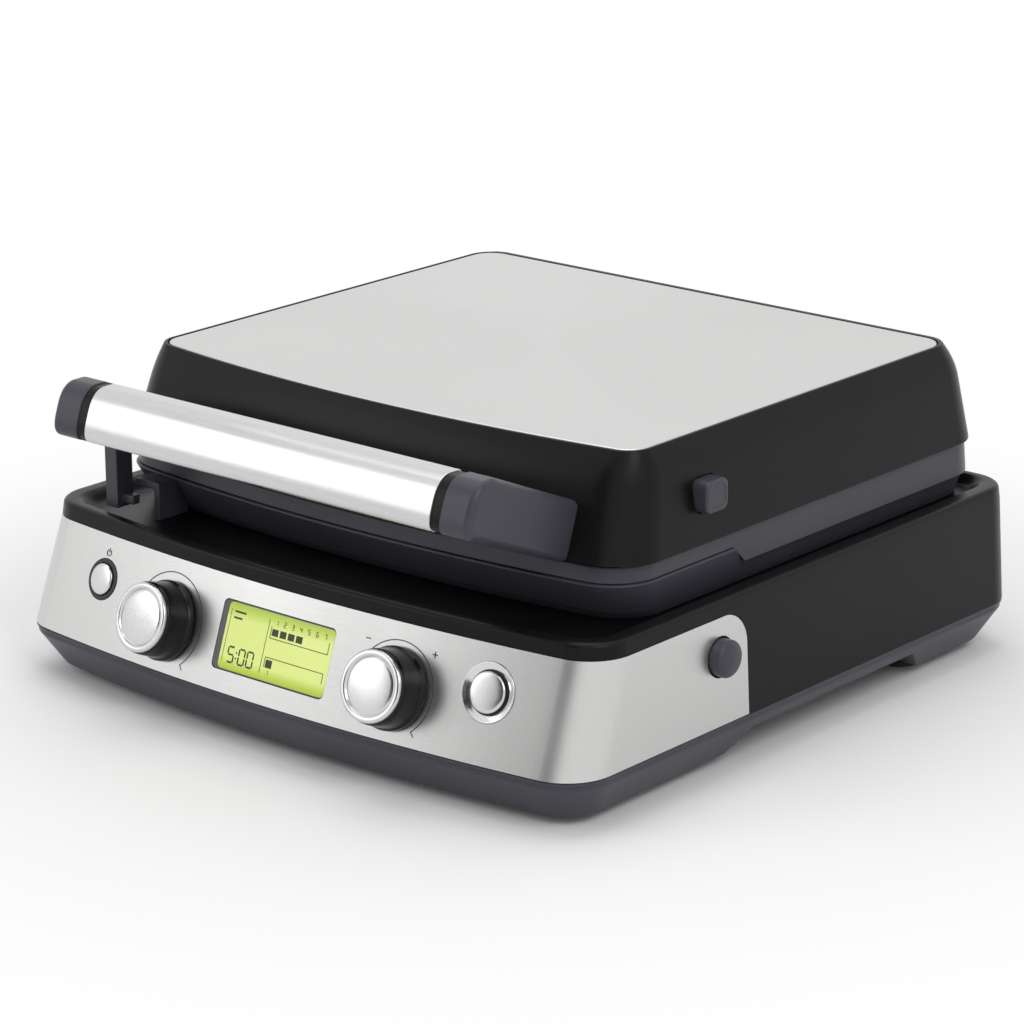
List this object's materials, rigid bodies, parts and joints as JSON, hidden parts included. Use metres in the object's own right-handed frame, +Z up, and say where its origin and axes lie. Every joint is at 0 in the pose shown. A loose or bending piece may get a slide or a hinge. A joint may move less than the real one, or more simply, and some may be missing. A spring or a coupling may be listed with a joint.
{
  "type": "waffle maker",
  "caption": "Countertop waffle maker with a bowed steel control panel, round knobs, lime display, hinged domed lid, bar handle and removable square-waffle plates.",
  "frame": {"origin": "on the resting surface, below the middle of the base's width, near the middle of its depth", "axes": "+Z up, -Y towards the control panel, +X to the user's right"},
  "size_m": [0.4011, 0.4178, 0.175],
  "materials": {
    "black_plastic": "satin moulded black plastic",
    "grey_plastic": "dark warm grey plastic with a fine moulded grain",
    "knob_black": "black plastic",
    "brushed_steel": "brushed stainless steel",
    "polished_steel": "polished rim with a spun face",
    "button_ring": "dark ring round each button",
    "rubber": "black rubber",
    "lcd_lens": "backlit lime display",
    "lcd_glass": "display module",
    "tray_metal": "aluminised sheet",
    "heater_metal": "sheathed tubular element",
    "plate_coating": "cast aluminium with a dark ceramic nonstick coating",
    "small_steel": "zinc-plated steel",
    "circuit_board": "green circuit board",
    "component_plastic": "dark component plastic"
  },
  "bodies": {
    "base": {"bottom_shell": "grey_plastic", "rubber_feet": "rubber", "base_housing": "black_plastic", "steel_band": "brushed_steel", "lower_surround": "grey_plastic", "lower_heater_tray": "tray_metal", "lower_heater": "heater_metal", "lower_plate": "plate_coating", "lower_plate_rim": "plate_coating", "lower_sensor": "small_steel", "hinge_brackets": "grey_plastic", "hinge_pins": "small_steel", "cord_gland": "rubber", "base_screws": "small_steel", "control_board": "circuit_board", "lcd_module": "lcd_glass", "display_lens": "lcd_lens", "display_bezel": "grey_plastic", "left_encoder": "component_plastic", "right_encoder": "component_plastic", "button_rings": "button_ring", "button_switches": "component_plastic", "power_board": "circuit_board", "relay": "component_plastic", "lock_catch": "grey_plastic", "lower_release_spring": "small_steel"},
    "lid": {"lid_cover": "black_plastic", "lid_top_plate": "brushed_steel", "upper_surround": "grey_plastic", "upper_heater_tray": "tray_metal", "upper_heater": "heater_metal", "upper_plate": "plate_coating", "upper_plate_rim": "plate_coating", "upper_sensor": "small_steel", "lid_hinge_arms": "grey_plastic", "handle_frame": "grey_plastic", "handle_sleeve": "brushed_steel", "handle_end_caps": "grey_plastic", "lid_screws": "small_steel", "upper_release_spring": "small_steel", "lock_pin": "small_steel"},
    "left_knob": {"left_knob": "knob_black", "left_knob_cap": "polished_steel"},
    "right_knob": {"right_knob": "knob_black", "right_knob_cap": "polished_steel"},
    "start_button": {"start_button": "polished_steel"},
    "texture_button": {"texture_button": "polished_steel"},
    "lower_release": {"lower_release_button": "grey_plastic", "lower_plate_latch": "small_steel"},
    "upper_release": {"upper_release_button": "grey_plastic", "upper_plate_latch": "small_steel"},
    "lock_lever": {"lock_lever": "grey_plastic"}
  },
  "joints": [
    {"name": "lid_hinge", "type": "hinge", "parent": "base", "child": "lid", "pos_m": [0, 0.1935, 0.104], "axis": [-1, 0, 0], "range_deg": [0, 100]},
    {"name": "left_knob_turn", "type": "hinge", "parent": "base", "child": "left_knob", "pos_m": [-0.08, -0.19346, 0.054], "axis": [-0.0557, -0.9393, 0.3384], "continuous": true},
    {"name": "right_knob_turn", "type": "hinge", "parent": "base", "child": "right_knob", "pos_m": [0.08, -0.19346, 0.054], "axis": [0.0557, -0.9393, 0.3384], "continuous": true},
    {"name": "start_button_push", "type": "slide", "parent": "base", "child": "start_button", "axis": [0.0946, 0.9362, -0.3384], "range_m": [0, 0.0015], "stiffness_N_per_m": 400, "springref_m": -0.002},
    {"name": "texture_button_push", "type": "slide", "parent": "base", "child": "texture_button", "axis": [-0.0946, 0.9362, -0.3384], "range_m": [0, 0.0015], "stiffness_N_per_m": 400, "springref_m": -0.002},
    {"name": "lower_release_push", "type": "slide", "parent": "base", "child": "lower_release", "axis": [-1, 0, 0], "range_m": [0, 0.003], "stiffness_N_per_m": 800, "springref_m": -0.003, "deforming": ["lower_release_spring"]},
    {"name": "upper_release_push", "type": "slide", "parent": "lid", "child": "upper_release", "axis": [-1, 0, 0], "range_m": [0, 0.003], "stiffness_N_per_m": 800, "springref_m": -0.003, "deforming": ["upper_release_spring"]},
    {"name": "lock_lever_turn", "type": "hinge", "parent": "lid", "child": "lock_lever", "pos_m": [-0.152, -0.156, 0.136], "axis": [1, 0, 0], "range_deg": [0, 12]}
  ]
}
